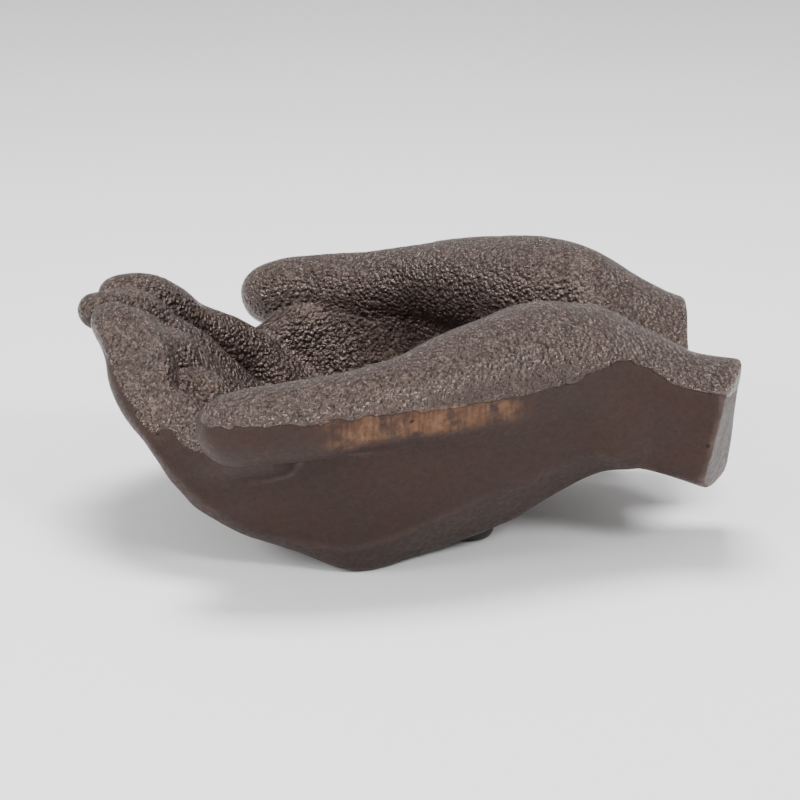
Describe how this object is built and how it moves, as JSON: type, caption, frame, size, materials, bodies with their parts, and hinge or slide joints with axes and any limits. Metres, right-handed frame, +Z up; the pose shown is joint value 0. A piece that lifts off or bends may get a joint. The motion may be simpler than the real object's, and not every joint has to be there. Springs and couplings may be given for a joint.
{
  "type": "cupped hands dish",
  "caption": "Shallow open dish in the form of two cupped hands, palms up, cast in dark iron with a rough skin, standing on domed rubber feet.",
  "frame": {"origin": "on the table, at the centre of the object's footprint", "axes": "+X from the fingertips to the wrists, +Y from the left hand to the right hand, +Z up"},
  "size_m": [0.1966, 0.1558, 0.0762],
  "materials": {
    "cast_iron": "rough brown sand-cast skin with ground and rusted patches",
    "black_rubber": "satin",
    "adhesive_foam": "matt translucent adhesive"
  },
  "bodies": {
    "root": {"cupped_hands_casting": "cast_iron", "rubber_foot_front_left": "black_rubber", "foot_adhesive_front_left": "adhesive_foam", "rubber_foot_front_right": "black_rubber", "foot_adhesive_front_right": "adhesive_foam", "rubber_foot_back_left": "black_rubber", "foot_adhesive_back_left": "adhesive_foam", "rubber_foot_back_right": "black_rubber", "foot_adhesive_back_right": "adhesive_foam"}
  },
  "joints": []
}
